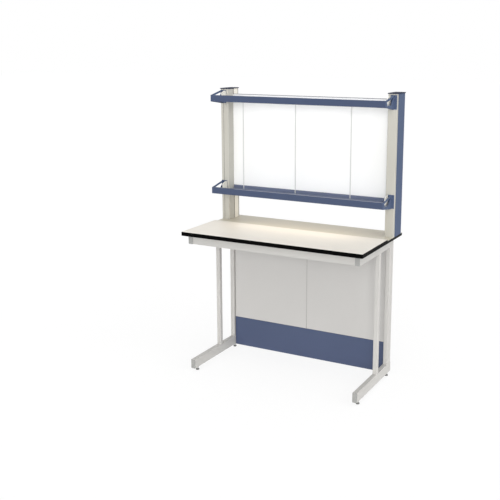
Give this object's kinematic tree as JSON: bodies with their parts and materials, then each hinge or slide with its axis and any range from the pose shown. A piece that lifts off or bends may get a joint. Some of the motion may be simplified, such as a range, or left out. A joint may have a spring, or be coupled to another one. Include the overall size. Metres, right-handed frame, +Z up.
{
  "type": "lab bench with reagent shelf",
  "caption": "Freestanding laboratory bench on a C-shaped steel frame, with a modesty panel and an open reagent shelf carried by posts at the back.",
  "frame": {"origin": "on the floor, in the middle of the footprint's box", "axes": "+X to the right of someone facing the bench, +Y towards the back, +Z up"},
  "size_m": [1.214, 0.65, 1.78],
  "materials": {
    "worktop_laminate": "cream high-pressure laminate on board, black edge",
    "ledge_laminate": "greige laminate on board, dark edge",
    "grey_board": "light grey melamine-faced board",
    "blue_board": "slate blue melamine-faced board",
    "white_sheet": "white smooth sheet",
    "grey_cap_plastic": "moulded grey plastic",
    "white_plastic": "moulded white plastic",
    "zinc_steel": "bright zinc-plated steel",
    "dark_plastic": "moulded grey plastic",
    "bright_steel": "bright steel rod",
    "blue_paint": "slate blue powder coat",
    "grey_post_paint": "light grey powder coat",
    "cream_post_paint": "pale cream powder coat",
    "grey_frame_paint": "light grey powder coat"
  },
  "bodies": {
    "root": {"apron_rail": "grey_frame_paint", "arm_end_caps": "grey_cap_plastic", "back_panel": "white_sheet", "bracket_cheeks": "white_plastic", "bracket_screws": "zinc_steel", "centre_tie_rod": "bright_steel", "foot_beam_end_caps": "grey_cap_plastic", "foot_inserts": "zinc_steel", "kick_panel": "blue_board", "left_column_head_plate": "grey_frame_paint", "left_foot_beam": "grey_frame_paint", "left_front_upright": "grey_frame_paint", "left_modesty_panel": "grey_board", "left_post_base": "grey_frame_paint", "left_post_cap": "blue_paint", "left_post_cover": "blue_paint", "left_post_front": "grey_post_paint", "left_post_rear": "cream_post_paint", "left_rear_column": "grey_frame_paint", "left_tie_rod": "bright_steel", "left_top_arm": "grey_frame_paint", "lower_left_bracket": "blue_paint", "lower_right_bracket": "blue_paint", "lower_shelf_front_rail": "blue_paint", "lower_shelf_rear_rail": "blue_paint", "lower_shelf_tray": "blue_paint", "panel_screws": "zinc_steel", "post_bolts": "zinc_steel", "rear_ledge": "ledge_laminate", "rear_lower_rail": "grey_frame_paint", "rear_top_rail": "grey_frame_paint", "right_column_head_plate": "grey_frame_paint", "right_foot_beam": "grey_frame_paint", "right_front_upright": "grey_frame_paint", "right_modesty_panel": "grey_board", "right_post_base": "grey_frame_paint", "right_post_cap": "blue_paint", "right_post_cover": "blue_paint", "right_post_front": "grey_post_paint", "right_post_rear": "cream_post_paint", "right_rear_column": "grey_frame_paint", "right_tie_rod": "bright_steel", "right_top_arm": "grey_frame_paint", "tie_rod_nuts": "zinc_steel", "upper_left_bracket": "blue_paint", "upper_right_bracket": "blue_paint", "upper_shelf_front_rail": "blue_paint", "upper_shelf_rear_rail": "blue_paint", "upper_shelf_tray": "blue_paint", "worktop": "worktop_laminate", "worktop_screws": "zinc_steel"},
    "front_left_foot": {"front_left_spindle": "zinc_steel", "front_left_pad": "dark_plastic"},
    "rear_left_foot": {"rear_left_spindle": "zinc_steel", "rear_left_pad": "dark_plastic"},
    "front_right_foot": {"front_right_spindle": "zinc_steel", "front_right_pad": "dark_plastic"},
    "rear_right_foot": {"rear_right_spindle": "zinc_steel", "rear_right_pad": "dark_plastic"}
  },
  "joints": [
    {"name": "front_left_foot_screw", "type": "slide", "parent": "root", "child": "front_left_foot", "axis": [0, 0, -1], "range_m": [0, 0.015]},
    {"name": "rear_left_foot_screw", "type": "slide", "parent": "root", "child": "rear_left_foot", "axis": [0, 0, -1], "range_m": [0, 0.015]},
    {"name": "front_right_foot_screw", "type": "slide", "parent": "root", "child": "front_right_foot", "axis": [0, 0, -1], "range_m": [0, 0.015]},
    {"name": "rear_right_foot_screw", "type": "slide", "parent": "root", "child": "rear_right_foot", "axis": [0, 0, -1], "range_m": [0, 0.015]}
  ]
}
